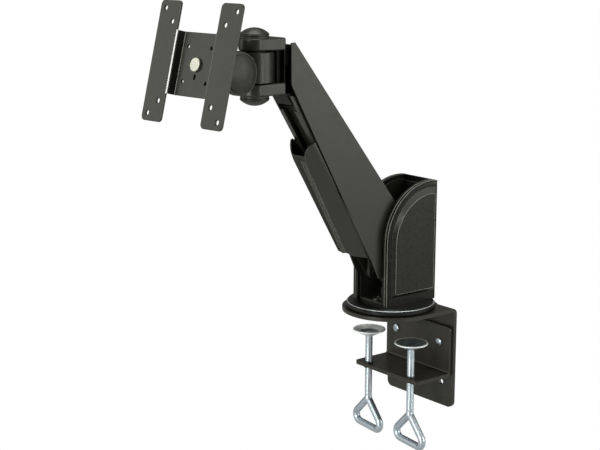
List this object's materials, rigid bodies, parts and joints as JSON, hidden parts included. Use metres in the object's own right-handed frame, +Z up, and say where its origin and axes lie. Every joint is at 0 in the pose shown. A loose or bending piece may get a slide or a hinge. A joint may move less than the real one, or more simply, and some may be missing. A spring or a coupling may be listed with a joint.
{
  "type": "monitor arm",
  "caption": "Desk-clamp monitor arm: a swivel turret carries a gas-spring parallelogram arm and a swivel, tilt and turn head with a screen plate.",
  "frame": {"origin": "on the base swivel axis, at the underside of the bracket's top plate, which rests on the desk", "axes": "+X to the right of a user who faces the screen side, -Y from the swivel towards the screen, +Z up"},
  "size_m": [0.1273, 0.3316, 0.4797],
  "materials": {
    "bracket_coat": "satin powder coat",
    "arm_coat": "satin powder coat",
    "turret_plastic": "fine-grained satin",
    "cover_plastic": "fine-grained satin",
    "zinc": "bright zinc plate",
    "pin_steel": "ground steel",
    "bright_pin": "smooth ivory enamel",
    "nylon": "black acetal",
    "spring_paint": "gloss black",
    "rod_chrome": "ground and chromed"
  },
  "bodies": {
    "base": {"desk_bracket": "bracket_coat", "clamp_jaw": "bracket_coat", "jaw_screws": "zinc", "screw_bushes": "bracket_coat", "swivel_stud": "zinc", "swivel_washer": "nylon", "spring_washers": "pin_steel", "swivel_nut": "pin_steel"},
    "left_pad": {"left_clamp_pad": "zinc"},
    "left_screw": {"left_clamp_screw": "zinc"},
    "right_pad": {"right_clamp_pad": "zinc"},
    "right_screw": {"right_clamp_screw": "zinc"},
    "turret": {"turntable_disc": "turret_plastic", "trim_ring": "zinc", "turret_frame": "arm_coat", "base_screws": "pin_steel", "turret_shell": "turret_plastic", "side_panel_left": "turret_plastic", "side_panel_right": "turret_plastic", "shell_screws": "zinc", "spring_bracket": "arm_coat", "base_pivot_pins": "pin_steel", "lower_pivot_pins": "pin_steel", "anchor_pin": "pin_steel"},
    "upper_link": {"upper_link": "arm_coat", "upper_link_bushes": "nylon", "spring_pin": "pin_steel", "head_pivot_pin": "pin_steel"},
    "lower_link": {"lower_link": "arm_coat", "lower_link_bushes": "nylon", "cable_cover": "cover_plastic"},
    "spring_body": {"gas_cylinder": "spring_paint"},
    "spring_rod": {"gas_rod": "rod_chrome"},
    "yoke": {"yoke": "arm_coat", "level_pin": "pin_steel", "head_bolt": "zinc", "head_nut": "zinc", "top_cap": "cover_plastic", "bottom_cap": "cover_plastic"},
    "knuckle": {"swivel_knuckle": "arm_coat", "knuckle_bushes": "nylon"},
    "tilt_head": {"tilt_bracket": "arm_coat", "tilt_bolt": "zinc", "tilt_nut": "zinc", "tilt_washers": "nylon", "left_tilt_cap": "cover_plastic", "right_tilt_cap": "cover_plastic", "plate_pivot": "bright_pin", "pivot_nut": "zinc", "rotation_washer": "nylon"},
    "plate": {"vesa_plate": "arm_coat"}
  },
  "joints": [
    {"name": "base_swivel", "type": "hinge", "parent": "base", "child": "turret", "pos_m": [0, 0, 0], "axis": [0, 0, 1], "range_deg": [-90, 90]},
    {"name": "lift", "type": "hinge", "parent": "turret", "child": "upper_link", "pos_m": [0, -0.016, 0.07], "axis": [-1, 0, 0], "range_deg": [-58, 2]},
    {"name": "lower_link_turn", "type": "hinge", "parent": "turret", "child": "lower_link", "pos_m": [0, -0.016, 0.042], "axis": [-1, 0, 0], "range_deg": [-59, 3]},
    {"name": "head_level", "type": "hinge", "parent": "upper_link", "child": "yoke", "pos_m": [0, -0.13788, 0.26505], "axis": [-1, 0, 0], "range_deg": [-3, 59]},
    {"name": "spring_turn", "type": "hinge", "parent": "upper_link", "child": "spring_body", "pos_m": [0, -0.11033, 0.22095], "axis": [-1, 0, 0], "range_deg": [-1, 6]},
    {"name": "rod_slide", "type": "slide", "parent": "spring_body", "child": "spring_rod", "axis": [0, 0.5136, -0.858], "range_m": [-0.0115, 0.001]},
    {"name": "head_swivel", "type": "hinge", "parent": "yoke", "child": "knuckle", "pos_m": [0, -0.181, 0.27], "axis": [0, 0, 1], "range_deg": [-55, 44]},
    {"name": "head_tilt", "type": "hinge", "parent": "knuckle", "child": "tilt_head", "pos_m": [0.00367, -0.21651, 0.2673], "axis": [0.9947, 0.1028, 0], "range_deg": [-45, 30]},
    {"name": "plate_rotate", "type": "hinge", "parent": "tilt_head", "child": "plate", "pos_m": [0.00815, -0.25987, 0.27849], "axis": [0.0996, -0.9635, 0.2487], "range_deg": [-90, 90]},
    {"name": "left_clamp_travel", "type": "slide", "parent": "base", "child": "left_pad", "axis": [0, 0, 1], "range_m": [-0.03, 0.027]},
    {"name": "left_screw_turn", "type": "hinge", "parent": "left_pad", "child": "left_screw", "pos_m": [-0.0338, 0, -0.1], "axis": [0, 0, 1], "range_deg": [-8640, 7780]},
    {"name": "right_clamp_travel", "type": "slide", "parent": "base", "child": "right_pad", "axis": [0, 0, 1], "range_m": [-0.03, 0.027]},
    {"name": "right_screw_turn", "type": "hinge", "parent": "right_pad", "child": "right_screw", "pos_m": [0.0338, 0, -0.1], "axis": [0, 0, 1], "range_deg": [-8640, 7780]}
  ],
  "couplings": [
    {"joint": "lower_link_turn", "follows": "lift", "ratio": 1},
    {"joint": "head_level", "follows": "lift", "ratio": -1},
    {"joint": "spring_turn", "follows": "lift", "ratio": -0.0862},
    {"joint": "rod_slide", "follows": "lift", "m_per_rad": 0.0103},
    {"joint": "left_screw_turn", "follows": "left_clamp_travel", "rad_per_m": 5026.5},
    {"joint": "right_screw_turn", "follows": "right_clamp_travel", "rad_per_m": 5026.5}
  ]
}
